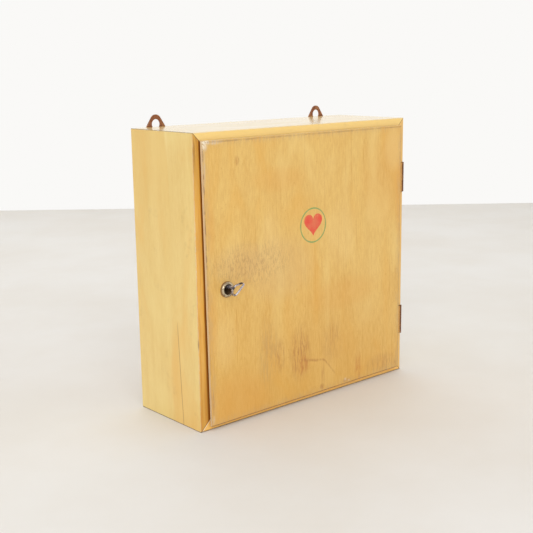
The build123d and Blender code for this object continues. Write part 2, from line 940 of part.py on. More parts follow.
def main():
    os.makedirs("parts", exist_ok=True)
    save("side_panel_left", side_panel_left())
    save("side_panel_right", side_panel_right())
    save("top_panel", top_panel())
    save("bottom_panel", bottom_panel())
    save("mitre_splines", *[spline_solid(corner, 0) for corner in corner_frames()])
    save("back_panel", back_panel())
    save("back_pins", *back_pins(flat_pin(pin_length)))
    for name, underside in shelf_undersides.items():
        save(f"shelf_{name}", shelf(underside))
        for side in ("left", "right"):
            save(f"batten_{name}_{side}", batten(side, underside))
    pins = [pin for side in ("left", "right") for pin in batten_pins(flat_pin(batten_pin_length), side)]
    save("batten_pins", *pins)
    save("door_stop_lower", door_stop(inner_bottom + stop_end_distance))
    save("door_stop_upper", door_stop(inner_top - stop_end_distance - stop_height))

    save("door_panel", door_panel())
    save("door_stile_left", door_stile("left"))
    save("door_stile_right", door_stile("right"))
    save("door_rail_bottom", door_rail(frame_bottom))
    save("door_rail_top", door_rail(frame_top - rail_width))

    for name, middle in hinge_heights.items():
        save(f"hinge_{name}_carcass_leaf", carcass_leaf(middle))
        save(f"hinge_{name}_door_leaf", door_leaf(middle))
        save(f"hinge_{name}_pin", hinge_pin(middle))
    middles = hinge_heights.values()
    save("hinge_carcass_screws", *[s for m in middles for s in carcass_leaf_screws(m, hinge_screw())])
    save("hinge_door_screws", *[s for m in middles for s in door_leaf_screws(m, hinge_screw())])

    save("lock_rosette", lock_rosette())
    save("lock_case", lock_case())
    save("lock_cover", lock_cover())
    save("lock_drill_pin", lock_drill_pin())
    save("lock_bolt", lock_bolt())
    save("lock_spring", lock_spring())
    save("lock_key", lock_key())
    case_screw = countersunk_screw(case_screw_head_radius, case_screw_shank_radius, case_screw_length)
    save("lock_screws", *case_screws(case_screw))
    cover_screw = countersunk_screw(
        cover_screw_head_radius, cover_screw_shank_radius, cover_screw_length
    )
    save("lock_cover_screws", *cover_screws(cover_screw))
    save("strike_plate", strike_plate())
    save("strike_screws", *strike_screws(hinge_screw()))

    for name, x in hanger_places.items():
        save(f"hanger_{name}", hanger(x))
    hanger_screw = countersunk_screw(
        hinge_screw_head_radius, hinge_screw_shank_radius, hanger_screw_length
    )
    save("hanger_screws", *[s for x in hanger_places.values() for s in hanger_screws(x, hanger_screw)])


main()
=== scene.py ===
# %% [markdown]
# # A wooden medicine cabinet
# The cabinet is four mitred boards, a lipped plywood door on two butt hinges, a lock with its key and
# two hanging plates. The packed model already has every piece at its real size, so this lesson is about
# looks: aged varnish with a grain that follows each board, worn arrises, stains, rust and plated metal.

# %% Load the packed model
import math

import bmesh
import bpy
import numpy as np
from mathutils import Matrix, Vector


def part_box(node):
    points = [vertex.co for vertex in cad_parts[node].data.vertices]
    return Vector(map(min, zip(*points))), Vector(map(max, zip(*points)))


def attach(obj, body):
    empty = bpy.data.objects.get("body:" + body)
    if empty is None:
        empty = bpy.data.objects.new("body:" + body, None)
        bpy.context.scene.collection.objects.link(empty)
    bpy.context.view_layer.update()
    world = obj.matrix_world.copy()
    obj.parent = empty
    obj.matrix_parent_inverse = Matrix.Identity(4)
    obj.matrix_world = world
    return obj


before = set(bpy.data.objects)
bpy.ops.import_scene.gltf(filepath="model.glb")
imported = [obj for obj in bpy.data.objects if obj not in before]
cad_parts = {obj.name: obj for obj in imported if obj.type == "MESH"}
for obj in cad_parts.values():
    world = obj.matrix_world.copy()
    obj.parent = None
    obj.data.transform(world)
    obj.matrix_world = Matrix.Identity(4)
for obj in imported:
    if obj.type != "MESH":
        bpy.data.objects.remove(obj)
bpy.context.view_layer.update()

# %% [markdown]
# Sizes are metres. Stains, worn edges and prints have to lie where they belong on the pieces. Their
# places could be typed in a second time, but would then go stale when the model changes, so they are
# read from the packed nodes. The door's face is a little out of true: how far its left edge leans in at
# the foot, and how far its lower edge rises, come from its corner points.

# %% Places on the cabinet
MM = 0.001
panel_low, panel_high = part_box("door_panel")
left_low, left_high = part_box("side_panel_left")
right_low, right_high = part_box("side_panel_right")
top_low, top_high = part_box("top_panel")
bottom_low, bottom_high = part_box("bottom_panel")
rosette_low, rosette_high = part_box("lock_rosette")
cabinet_height = top_high.z
panel_front = panel_low.y
panel_width = panel_high.x - panel_low.x
panel_height = panel_high.z - panel_low.z
corner_reach = 0.05 * MM
panel_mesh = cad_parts["door_panel"].data
panel_points = np.zeros(3 * len(panel_mesh.vertices))
panel_mesh.vertices.foreach_get("co", panel_points)
panel_points = panel_points.reshape(-1, 3)
foot_points = panel_points[panel_points[:, 2] < panel_low.z + corner_reach]
right_points = panel_points[panel_points[:, 0] > panel_high.x - corner_reach]
foot_lean = float(foot_points[:, 0].min() - panel_low.x)
foot_rise = float(right_points[:, 2].min() - panel_low.z)
print("door panel", [round(v / MM, 1) for v in (*panel_low, *panel_high)])
print("its foot leans in by", round(foot_lean / MM, 2), "and rises by", round(foot_rise / MM, 2))

# %% [markdown]
# The camera stands to the left of the cabinet and a little above it. It could be moved about by eye,
# but edges then miss by several pixels, so its place and its lens were solved from the corners of the
# box in the photograph. The view direction is built from an azimuth, measured from straight back towards
# the right, an elevation and a small roll, because these can be changed one at a time.

# %% Camera
PHOTO_WIDTH = 533
SENSOR_WIDTH = 36.0
focal_pixels = 958.21
camera_place = Vector((-0.92312, -1.04651, 0.48613))
camera_azimuth = math.radians(40.815)
camera_elevation = math.radians(12.060)
camera_roll = math.radians(-0.834)


def camera_axes(azimuth, elevation, roll):
    """Right, up and forward: forward leans down by the elevation, then the other two turn by the roll."""
    forward = Vector((
        math.sin(azimuth) * math.cos(elevation),
        math.cos(azimuth) * math.cos(elevation),
        -math.sin(elevation),
    ))
    right = Vector((math.cos(azimuth), -math.sin(azimuth), 0))
    up = right.cross(forward)
    turned_right = right * math.cos(roll) + up * math.sin(roll)
    turned_up = up * math.cos(roll) - right * math.sin(roll)
    return turned_right, turned_up, forward


def into_scene(name, data):
    """A new object, linked to the scene, with this lens, mesh or light."""
    thing = bpy.data.objects.new(name, data)
    bpy.context.scene.collection.objects.link(thing)
    return thing


def add_camera():
    lens = bpy.data.cameras.new("photo_camera")
    lens.sensor_width = SENSOR_WIDTH
    lens.lens = focal_pixels / PHOTO_WIDTH * SENSOR_WIDTH
    camera = into_scene("photo_camera", lens)
    right, up, forward = camera_axes(camera_azimuth, camera_elevation, camera_roll)
    turn = Matrix((right, up, -forward)).transposed().to_4x4()
    camera.matrix_world = Matrix.Translation(camera_place) @ turn
    bpy.context.scene.camera = camera
    print("lens", round(lens.lens, 2), "mm")


add_camera()

# %% [markdown]
# Shaders want linear colours, which are hard to judge by eye. Colours are written as they are read from
# a picture, from 0 to 255, and a small function makes them linear.

# %% Colour helper


def paint(red, green, blue):
    """A linear colour from picture values, each taken as a share of 255. Small shares are divided by
    12.92. To the others 0.055 is added, the sum is divided by 1.055 and raised to 2.4.
    """
    values = np.array([red, green, blue]) / 255
    linear = np.where(values <= 0.04045, values / 12.92, ((values + 0.055) / 1.055) ** 2.4)
    return (*[float(v) for v in linear], 1.0)


print("a middle grey of 128 is", round(paint(128, 128, 128)[0], 3))

# %% [markdown]
# Every finish is a node tree. Written out one by one, the nodes hide what a material does. A small class
# keeps the tree and offers short calls instead: sums, soft steps, products of masks and mixes. A value
# may be a number or another node's socket, so the calls nest like a formula.

# %% A node tree with short calls


class Nodes:
    """A shader node tree, with short calls that add nodes to it."""

    def __init__(self, tree, place):
        self.tree = tree
        self.place = self.add("ShaderNodeTexCoord").outputs[place]

    def add(self, kind, **settings):
        node = self.tree.nodes.new(kind)
        for name, value in settings.items():
            setattr(node, name, value)
        return node

    def feed(self, socket, value):
        if isinstance(value, bpy.types.NodeSocket):
            self.tree.links.new(value, socket)
        else:
            socket.default_value = value

    def calc(self, operation, *values, clamp=False):
        node = self.add("ShaderNodeMath", operation=operation, use_clamp=clamp)
        for socket, value in zip(node.inputs, values):
            self.feed(socket, value)
        return node.outputs[0]

    def minus(self, value, other):
        return self.calc("SUBTRACT", value, other)

    def times(self, first, *others):
        """The product of any number of masks and strengths."""
        for other in others:
            first = self.calc("MULTIPLY", first, other)
        return first

    def least(self, first, *others):
        for other in others:
            first = self.calc("MINIMUM", first, other)
        return first

    def ease(self, value, start, end, low=0.0, high=1.0):
        """A smooth step from low to high while the value goes from start to end."""
        node = self.add("ShaderNodeMapRange", interpolation_type="SMOOTHSTEP")
        for socket, amount in zip(node.inputs, (value, start, end, low, high)):
            self.feed(socket, amount)
        return node.outputs["Result"]

    def near(self, value, target, width):
        """One where the value is the target, and softly down to nothing a width away."""
        return self.ease(self.calc("ABSOLUTE", self.minus(value, target)), 0.0, width, 1.0, 0.0)

    def mix(self, amount, below, above):
        node = self.add("ShaderNodeMix", data_type="RGBA")
        self.feed(node.inputs[0], amount)
        self.feed(node.inputs[6], below)
        self.feed(node.inputs[7], above)
        return node.outputs[2]


print("short calls", [name for name in vars(Nodes) if not name.startswith("_")])

# %% [markdown]
# A finish is such a tree around one Principled shader. It is worked up as on the bench: a ground colour
# first, then tone after tone laid over it through a mask, and bumps one on top of another. Patterns could
# follow a UV map, but the packed meshes have none. They read Object coordinates, which on these pieces
# are the cabinet's own metres, so the grain runs on through a board and turns with it.

# %% A class for finishes


class Finish(Nodes):
    """One procedural material, with the colour and the bumps that it has so far."""

    def __init__(self, name):
        self.material = bpy.data.materials.new(name)
        self.material.use_nodes = True
        super().__init__(self.material.node_tree, "Object")
        self.shader = self.tree.nodes["Principled BSDF"]
        split = self.add("ShaderNodeSeparateXYZ")
        self.feed(split.inputs[0], self.place)
        self.x, self.y, self.z = split.outputs
        self.colour = None
        self.bent = None

    def stretched(self, scale, shift=(0, 0, 0)):
        node = self.add("ShaderNodeMapping")
        self.feed(node.inputs["Vector"], self.place)
        node.inputs["Location"].default_value = shift
        node.inputs["Scale"].default_value = scale
        return node.outputs[0]

    def noise(self, place, scale=1.0, detail=2.0, rough=0.5, distortion=0.0):
        node = self.add("ShaderNodeTexNoise")
        self.feed(node.inputs["Vector"], place)
        for name, amount in (
            ("Scale", scale), ("Detail", detail), ("Roughness", rough), ("Distortion", distortion),
        ):
            node.inputs[name].default_value = amount
        return node.outputs["Fac"]

    def lay(self, tone, *masks):
        """Lays a tone over the colour so far, as strongly as the product of the masks says."""
        self.colour = self.mix(self.times(*masks), self.colour, tone)

    def bump(self, height, depth):
        """Raises the surface by height times depth, on top of what is there already."""
        node = self.add("ShaderNodeBump")
        node.inputs["Strength"].default_value = 1.0
        node.inputs["Distance"].default_value = depth
        self.feed(node.inputs["Height"], height)
        if self.bent is not None:
            self.feed(node.inputs["Normal"], self.bent)
        self.bent = node.outputs[0]

    def done(self, rough, **settings):
        """Joins colour, roughness and bumps to the shader, and sets its plain numbers."""
        self.feed(self.shader.inputs["Base Color"], self.colour)
        self.feed(self.shader.inputs["Roughness"], rough)
        if self.bent is not None:
            self.feed(self.shader.inputs["Normal"], self.bent)
        for name, value in settings.items():
            self.shader.inputs[name.replace("_", " ")].default_value = value
        return self.material


print("finishes add", [name for name in vars(Finish) if not name.startswith("_")])

# %% [markdown]
# Wood could be a photograph of veneer, but that repeats and has to be unwrapped. Here it is stretched
# noise in five layers. Flecks are a millimetre wide and a centimetre long, bands come from the yearly
# growth, and soft clouds from how the light catches the figure. Specks and long dark lines are rarer. The
# grain's direction decides which axis is compressed. The same calls serve every board, with a shift so
# that no two match, and with its own share of each layer.

# %% Wood figure
GRAIN = {"x": (1, 0, 0), "y": (0, 1, 0), "z": (0, 0, 1)}
# noise cells per metre across and along the grain, and the other settings of each layer
FIGURE = {
    "clouds": (26, 9, {"detail": 5, "distortion": 1.1}),
    "bands": (62, 3.5, {"detail": 3, "distortion": 0.5}),
    "flecks": (480, 76, {"detail": 3, "rough": 0.65}),
    "specks": (420, 190, {"detail": 1}),
    "lines": (260, 6, {"detail": 2}),
}
# the noise values between which a layer goes from light to dark: high ones make it rare
CONTRAST = {
    "clouds": (0.30, 0.70),
    "bands": (0.30, 0.70),
    "flecks": (0.30, 0.72),
    "specks": (0.68, 0.79),
    "lines": (0.60, 0.72),
}
# how much of the way to the dark tone each layer takes a wood
CALM = {"clouds": 0.22, "bands": 0.30, "flecks": 0.30, "specks": 0.15, "lines": 0.10}


def grain_scale(axis, across, along):
    """Noise cells per metre along each axis: few along the grain and many across it."""
    return tuple(along if part else across for part in GRAIN[axis])


def wood_figure(finish, axis, shift):
    """The noise of each layer, for a grain along one axis."""
    figure = {}
    for layer, (across, along, settings) in FIGURE.items():
        place = finish.stretched(grain_scale(axis, across, along), shift)
        figure[layer] = finish.noise(place, **settings)
    return figure


def wood_colour(finish, figure, light, dark, shares=CALM):
    """From light to dark by the sum of the layers, each of them times its share."""
    tone = 0.0
    for layer, share in shares.items():
        part = finish.ease(figure[layer], *CONTRAST[layer])
        tone = finish.calc("MULTIPLY_ADD", part, share, tone, clamp=True)
    return finish.mix(tone, light, dark)


print("layers of the figure", list(FIGURE))

# %% [markdown]
# Old varnish isn't of one colour. It has yellowed more where it lies thicker, in clouds a few fingers
# wide. Amber and straw could have a noise each, but one slow noise for both keeps them from meeting.

# %% Drifting varnish
DRIFT_SCALE = (17, 17, 6)


def warm_clouds(finish, colour, shift, warm, pale, amount):
    """Drifts to a warm tint where a slow noise is high, and to a pale one where it is low."""
    drift = finish.noise(finish.stretched(DRIFT_SCALE, shift), detail=4, distortion=0.8)
    colour = finish.mix(finish.ease(drift, 0.48, 0.76, 0.0, amount), colour, warm)
    return finish.mix(finish.ease(drift, 0.50, 0.28, 0.0, amount), colour, pale)


print("varnish drifts over about", round(1 / DRIFT_SCALE[0] / MM), "mm")

# %% [markdown]
# Varnish wears off where hands and cloths rub, so a mask of the distance to the nearest arris is needed.
# It could be painted or baked from the mesh's curvature, but a formula stays sharp at any size. On the
# surface of a box one of the three wall distances is nothing, so the middle one of the three is how far
# the nearest edge is. No worn border is straight, so a little noise is added to its distance.

# %% Edge distance


def edge_distance(finish, low, high):
    """The middle value of the distances to the nearest wall along X, Y and Z."""
    walls = []
    for value, start, end in zip((finish.x, finish.y, finish.z), low, high):
        walls.append(finish.least(finish.minus(value, start), finish.minus(end, value)))
    lesser = finish.least(walls[0], walls[1])
    greater = finish.calc("MAXIMUM", walls[0], walls[1])
    return finish.calc("MAXIMUM", lesser, finish.least(greater, walls[2]))


def ragged(finish, distance, amount, scale=160):
    """Adds noise to a distance, so that a worn border wanders."""
    wander = finish.noise(finish.place, scale=scale, detail=3, rough=0.6)
    return finish.calc("MULTIPLY_ADD", wander, amount, finish.minus(distance, amount / 2))


print("the left board is", round((left_high.x - left_low.x) / MM, 1), "mm thick")

# %% [markdown]
# The carcass boards are pale wood under an amber varnish. The front edges soaked up more of it and are
# deeper in colour, and the arrises are rubbed back to bare wood. All of it is laid over the wood's own
# colour in the order in which it came to the real boards: varnish, wear, then dirt.

# %% Varnished boards
HONEY_LIGHT = paint(239, 210, 133)
HONEY_DARK = paint(226, 188, 107)
STRAW = paint(240, 214, 137)
AMBER = paint(236, 184, 92)
RUBBED = paint(222, 204, 168)
GRIME = paint(140, 100, 56)


class Board(Finish):
    """The finish of a board, with a mask of its front edge, its edge distance and its wood's figure."""

    def __init__(self, name, axis, box, shift):
        super().__init__(name)
        self.low = box[0]
        self.shift = shift
        self.front = self.ease(self.y, self.low.y + 0.2 * MM, self.low.y + 1.0 * MM, 1.0, 0.0)
        self.edge = edge_distance(self, *box)
        self.figure = wood_figure(self, axis, shift)


def varnish(board, edge_tone, shares=CALM, drift=0.7):
    """Wood, drifting varnish, the deeper front edge, the rubbed arrises and a little grime."""
    wood = wood_colour(board, board.figure, HONEY_LIGHT, HONEY_DARK, shares)
    board.colour = warm_clouds(board, wood, board.shift, AMBER, STRAW, drift)
    board.lay(edge_tone, board.front, board.ease(board.figure["flecks"], 0.3, 0.7, 0.95, 0.75))
    board.lay(RUBBED, board.ease(ragged(board, board.edge, 2.0 * MM), 0.0, 1.3 * MM, 0.7, 0.0))
    dirt = board.noise(board.place, scale=26, detail=4, rough=0.7)
    board.lay(GRIME, board.ease(dirt, 0.58, 0.8, 0.0, 0.2))


print("varnish from", np.round(HONEY_LIGHT[:3], 2), "to", np.round(HONEY_DARK[:3], 2))

# %% [markdown]
# The mitres have opened to thin dark lines, and the lower left one has splintered to bare wood. They
# could be cut as grooves, but are narrower than a pixel, so a dark line in the colour is enough. A mitre
# is where a point is as far in from the side as it is from the end. Along the foot, a dark band is
# painted shade where the boards meet the floor.

# %% Mitres, painted foot shade and sheen
# one brown for the open mitres and for the painted shade along the foot
JOINT_AND_SHADE_BROWN = paint(92, 56, 24)
SPLINTER = paint(244, 222, 192)
SATIN = {"Coat_Weight": 0.35, "Coat_Roughness": 0.16}
GLOSS = {"Coat_Weight": 0.85, "Coat_Roughness": 0.15, "Coat_IOR": 1.52}
mitre_width = 1.0 * MM
splinter_height = 100 * MM


def mitre_offset(finish):
    """How much further in from the side a point is than from the nearer end: nothing on the mitre."""
    from_side = finish.minus(-left_low.x, finish.calc("ABSOLUTE", finish.x))
    from_end = finish.least(finish.z, finish.minus(cabinet_height, finish.z))
    return finish.minus(from_side, from_end)


def open_mitres(board):
    offset = mitre_offset(board)
    low_part = board.calc("LESS_THAN", board.z, splinter_height)
    left_part = board.calc("LESS_THAN", board.x, 0.0)
    board.lay(SPLINTER, board.near(offset, 1.8 * MM, 1.4 * MM), board.front, low_part, left_part)
    board.lay(JOINT_AND_SHADE_BROWN, board.near(offset, 0.0, mitre_width), 0.95)


def painted_foot_shade(board):
    """Painted shade up from the floor: a dark band with a ragged upper border, higher on the front edge.
    """
    shade_height = board.calc("MULTIPLY_ADD", board.front, 0.9 * MM, 1.3 * MM)
    board.lay(JOINT_AND_SHADE_BROWN, board.ease(ragged(board, board.z, 0.8 * MM), 0.3 * MM, shade_height, 0.85, 0.0))


def finish_board(board, relief=1.0, sheen=SATIN):
    open_mitres(board)
    painted_foot_shade(board)
    board.bump(board.figure["flecks"], 0.04 * MM * relief)
    board.bump(board.figure["bands"], 0.10 * MM * relief)
    return board.done(board.ease(board.figure["clouds"], 0.3, 0.7, 0.30, 0.42), **sheen)


print("mitre lines", mitre_width / MM, "mm wide")

# %% [markdown]
# Three of the boards need no more than that. The top has kept its gloss and hardly any figure, and the
# bottom's edge is the deepest in colour. They could be written out one by one, but only their grain,
# shift and edge tone differ, so one function takes these.

# %% Top, bottom and right side
SMOOTH = {"clouds": 0.15, "bands": 0.20, "flecks": 0.14, "lines": 0.22}


def top_board():
    board = Board("top_varnish", "x", (top_low, top_high), (3.1, 0.4, 1.7))
    varnish(board, paint(250, 212, 126), SMOOTH, 0.3)
    return finish_board(board, 0.05, GLOSS)


def plain_board(name, axis, box, shift, edge_tone):
    board = Board(name, axis, box, shift)
    varnish(board, edge_tone)
    return finish_board(board)


top_varnish = top_board()
# The bottom's front edge tone is painted lighter, as painted light against the shade under the door's
# lip.
bottom_varnish = plain_board("bottom_varnish", "x", (bottom_low, bottom_high), (8.3, 2.2, 0.9),
                             paint(250, 194, 98))
right_varnish = plain_board("right_varnish", "z", (right_low, right_high), (1.9, 5.4, 2.6),
                            paint(232, 184, 104))
print("boards", [m.name for m in (top_varnish, bottom_varnish, right_varnish)])

# %% [markdown]
# Of the boards, the left side shows most. It is glued up from two: the joint is a faint step in tone
# near the top, and it has opened to a crack in the lower third. The crack could be cut out, but is only
# a hair wide, so it is a line in the colour. It leans, so its place across is a function of the height.

# %% Glued joint and crack
joint_y = -12 * MM
joint_lean = -0.049
crack_top = 150 * MM
crack_width = 0.8 * MM


def crack_line(board):
    """The crack's place across the board: its place at the top and a lean times the way down."""
    drop = board.minus(cabinet_height, board.z)
    line_y = board.calc("MULTIPLY_ADD", drop, joint_lean, joint_y)
    wander = board.noise(board.stretched((1, 1, 9)), scale=2.0, detail=1)
    return board.calc("MULTIPLY_ADD", wander, 1.2 * MM, line_y)


def glued_joint(board):
    """A darker board behind the joint, a pale strip along it at the top, and the crack below."""
    line_y = crack_line(board)
    outer = board.ease(board.x, board.low.x + 0.5 * MM, board.low.x + 1.5 * MM, 1.0, 0.0)
    behind = board.ease(board.minus(board.y, line_y), -0.3 * MM, 0.3 * MM)
    board.lay(paint(230, 186, 98), behind, board.ease(board.z, 0.25, 0.34, 0.08, 0.35), outer)
    strip = board.near(board.y, line_y, 5 * MM)
    board.lay(paint(244, 220, 150), strip, board.ease(board.z, 0.36, 0.40), 0.6)
    open_part = board.ease(board.z, crack_top, crack_top - 20 * MM)
    board.lay(paint(150, 96, 44), board.near(board.y, line_y, crack_width), open_part, outer)


print("crack up to", round(crack_top / MM), "mm, leaning by", joint_lean)

# %% [markdown]
# The front edge of the left side took the most varnish. It pooled to brown streaks and got fine
# scratches near the top and a chip low down, and the shade of the door's lip is painted on it in dark
# brown. A second material for the edge would stop dead at the arris, so each tone is laid through the
# board's soft front mask. The painted shade starts at the door's own left edge, which leans in.

# %% Worn front edge and painted lip shade
LEFT_EDGE = paint(230, 168, 62)
chip_z = 122.5 * MM


def door_left_edge(finish):
    """The X of the door face's left edge at this height: it leans in evenly on the way down."""
    drop = finish.minus(panel_high.z, finish.z)
    return finish.calc("MULTIPLY_ADD", drop, foot_lean / panel_height, panel_low.x)


def scratched_edge(board):
    """Darker ends, then two noises stretched along the edge: scratches and pooled varnish."""
    from_middle = board.calc("ABSOLUTE", board.minus(board.z, cabinet_height / 2))
    board.lay(paint(200, 148, 52), board.ease(from_middle, 0.08, 0.17, 0.0, 0.55), board.front)
    scratch = board.ease(board.noise(board.stretched((420, 420, 14), (0, 3, 0)), detail=2), 0.50, 0.60)
    board.lay(paint(124, 74, 28), scratch, board.ease(board.z, 0.335, 0.385, 0.0, 0.5), board.front)
    pooled = board.ease(board.noise(board.stretched((230, 230, 9), (2, 0, 6)), detail=3), 0.48, 0.62)
    board.lay(paint(196, 122, 30), pooled, board.ease(board.z, 0.12, 0.24, 0.5, 0.3), board.front)


def painted_lip_shade(board):
    """Painted shade of the door's lip: dark brown beside and under it, in a band that widens towards the
    foot.
    """
    before = board.minus(door_left_edge(board), board.x)
    reach = board.ease(board.z, 0.04, 0.30, 4.4 * MM, 1.6 * MM)
    beside = board.ease(before, reach, 0.1 * MM)
    under = board.ease(before, -1 * MM, -3 * MM, 1.0, 0.25)
    # dark brown of the painted shade
    board.lay(paint(138, 72, 10), beside, under, board.front, 0.9)


def chipped_arris(board):
    arris = board.near(board.edge, 0.0, 2.2 * MM)
    front_half = board.calc("LESS_THAN", board.y, 0.0)
    board.lay(paint(120, 84, 44), arris, board.near(board.z, chip_z, 11 * MM), front_half, 0.7)


def left_side():
    board = Board("left_varnish", "z", (left_low, left_high), (0.3, 1.2, 4.0))
    varnish(board, LEFT_EDGE)
    glued_joint(board)
    scratched_edge(board)
    painted_lip_shade(board)
    chipped_arris(board)
    return finish_board(board)


left_varnish = left_side()
print("left side has", len(left_varnish.node_tree.nodes), "nodes")

# %% [markdown]
# The door is the most worn. Its plywood face has an upright grain, livelier near the foot, where the
# varnish is also deeper in tone. The wood could be one even figure, but then the door looks new.

# %% Wood of the door's face
FACE_LIGHT = paint(236, 199, 115)
FACE_DARK = paint(211, 160, 77)
FACE_STRAW = paint(238, 206, 128)
FACE_AMBER = paint(228, 170, 70)
FACE_LOW = paint(214, 158, 59)
LIVELY = {"clouds": 0.20, "bands": 0.10, "flecks": 0.56, "specks": 0.66, "lines": 0.50}


def face_wood(door, figure):
    """Lively wood, calmer above a quarter of a metre and deeper below it, mostly towards the left."""
    door.colour = wood_colour(door, figure, FACE_LIGHT, FACE_DARK, LIVELY)
    door.lay(door.mix(0.40, FACE_LIGHT, FACE_DARK), door.ease(door.z, 0.12, 0.26, 0.0, 0.28))
    door.colour = warm_clouds(door, door.colour, (2.0, 0.0, 5.0), FACE_AMBER, FACE_STRAW, 0.6)
    towards_left = door.ease(door.x, 40 * MM, 180 * MM, 1.0, 0.65)
    door.lay(FACE_LOW, door.ease(door.z, 0.26, 0.02, 0.0, 0.45), towards_left)


print("door face", round(panel_width / MM), "by", round(panel_height / MM), "mm")

# %% [markdown]
# Water, hands and years left marks on the face: brown stains near the foot, grey round the key, and
# chips of white at the corners. They could be painted on an image, but a list of ellipses stays easy to
# change and has no resolution. Each is given by its middle and its half sizes in millimetres. Stains are
# broken up by streaks along the grain, and drifts of tint in the varnish are left smooth.

# %% Stains and tints
STAIN_BROWN = paint(182, 122, 58)
STAIN_GREY = paint(186, 146, 90)
STAIN_RUST = paint(196, 120, 44)
STAIN_WHITE = paint(230, 214, 188)
TINT_AMBER = paint(222, 158, 66)
TINT_PALE = paint(240, 208, 138)
TINT_HAZE = paint(216, 182, 128)
# middle x, middle z, half width, half height, strength, colour
STAINS = [
    (-84, 88, 24, 62, 0.45, STAIN_GREY),
    (-24, 76, 26, 50, 0.75, STAIN_BROWN),
    (-62, 80, 12, 32, 0.55, STAIN_BROWN),
    (-18, 57, 14, 18, 0.6, STAIN_RUST),
    (40, 80, 30, 40, 0.35, STAIN_BROWN),
    (22, 34, 5, 28, 0.45, STAIN_BROWN),
    (20, 15, 6, 6, 0.8, STAIN_BROWN),
    (96, 28, 9, 34, 0.6, STAIN_RUST),
    (148, 25, 46, 17, 0.5, STAIN_BROWN),
    (170, 18, 26, 12, 0.3, STAIN_GREY),
    (70, 13, 8, 4, 0.7, STAIN_BROWN),
    (69, 15, 3, 3, 0.8, STAIN_WHITE),
    (76, 12, 3, 2, 0.7, STAIN_WHITE),
    (181, 16, 4, 8, 0.7, STAIN_BROWN),
    (-135, 212, 56, 26, 0.2, STAIN_GREY),
    (-92, 228, 48, 22, 0.16, STAIN_GREY),
    (-134, 361, 5, 8, 0.9, STAIN_BROWN),
    (-187, 384, 7, 10, 0.95, STAIN_WHITE),
    (-172, 387, 20, 4, 0.8, STAIN_WHITE),
    (-188, 350, 3, 40, 0.6, STAIN_WHITE),
    (-183, 38, 2.2, 20, 0.9, STAIN_BROWN),
    (-183, 15, 4, 9, 0.55, STAIN_WHITE),
]
TINTS = [
    (-60, 206, 80, 56, 0.28, TINT_HAZE),
    (-132, 224, 56, 34, 0.28, TINT_HAZE),
    (-180, 275, 10, 46, 0.35, TINT_AMBER),
    (150, 310, 60, 90, 0.26, TINT_AMBER),
    (186, 280, 12, 80, 0.38, TINT_AMBER),
    (-140, 28, 70, 58, 0.38, TINT_AMBER),
    (-184, 150, 16, 62, 0.35, TINT_AMBER),
    (60, 150, 90, 30, 0.25, TINT_AMBER),
    (-60, 330, 60, 22, 0.28, TINT_AMBER),
    (60, 240, 40, 60, 0.2, TINT_PALE),
    (172, 358, 26, 44, 0.4, TINT_PALE),
    (-76, 240, 22, 60, 0.25, TINT_PALE),
    (-160, 120, 24, 50, 0.25, TINT_PALE),
]


def ellipse(finish, middle_x, middle_z, half_width, half_height):
    """One in the middle and nothing at the rim: it fades with the sum of both distances squared, each
    as a share of its half size.
    """
    across = finish.calc("DIVIDE", finish.minus(finish.x, middle_x * MM), half_width * MM)
    up = finish.calc("DIVIDE", finish.minus(finish.z, middle_z * MM), half_height * MM)
    squares = finish.calc("MULTIPLY_ADD", across, across, finish.times(up, up))
    return finish.ease(squares, 0.0, 1.0, 1.0, 0.0)


def grain_streaks(door):
    """Short streaks along the grain, which eat into whatever is laid through them."""
    place = door.stretched((330, 330, 48), (1, 2, 3))
    return door.ease(door.noise(place, detail=4, rough=0.7, distortion=0.6), 0.40, 0.62, 0.12, 1.0)


def lay_stains(door, streaks):
    for *place, strength, tone in TINTS:
        door.lay(tone, ellipse(door, *place), strength)
    for *place, strength, tone in STAINS:
        door.lay(tone, ellipse(door, *place), streaks, strength)


print("door stains", len(STAINS), "and drifts of tint", len(TINTS))

# %% [markdown]
# Keys and fingers have scuffed the varnish above the lock to fine short strokes, and a puddle has dried
# near the foot and left its rim: level first and then falling. A row of ellipses would leave knots in
# it, so the rim's height is a function of the place across, made of two soft steps. Last comes a fine
# mottle, which takes the plastic evenness out of the varnish.

# %% Scuffs, a dried puddle and mottle
SCUFF = paint(168, 122, 72)
MOTTLE = paint(190, 140, 72)
scuffed_place = (-112, 220, 96, 40)


def puddle_rim(door):
    """Height falls from 66 to 57 mm, then by 30 mm more; the line is dark 3.4 mm to either side."""
    level = door.ease(door.x, -40 * MM, 24 * MM, 66 * MM, 57 * MM)
    height = door.minus(level, door.ease(door.x, 18 * MM, 54 * MM, 0.0, 30 * MM))
    wander = door.noise(door.stretched((90, 90, 90)), detail=2)
    height = door.calc("MULTIPLY_ADD", wander, 3 * MM, height)
    line = door.near(door.minus(door.z, height), -1.5 * MM, 3.4 * MM)
    left_end = door.ease(door.x, -34 * MM, -20 * MM)
    right_end = door.ease(door.x, 50 * MM, 40 * MM)
    return door.times(line, left_end, right_end)


def lay_marks(door, streaks):
    strokes = door.noise(door.stretched((620, 620, 170), (5, 1, 2)), detail=3, rough=0.7)
    door.lay(SCUFF, ellipse(door, *scuffed_place), door.ease(strokes, 0.50, 0.60), 0.42)
    door.lay(STAIN_BROWN, puddle_rim(door), streaks, 0.8)
    mottle = door.noise(door.place, scale=900, detail=2)
    door.lay(MOTTLE, door.ease(mottle, 0.42, 0.66, 0.0, 0.16))


print("scuffs over", 2 * scuffed_place[2], "by", 2 * scuffed_place[3], "mm")

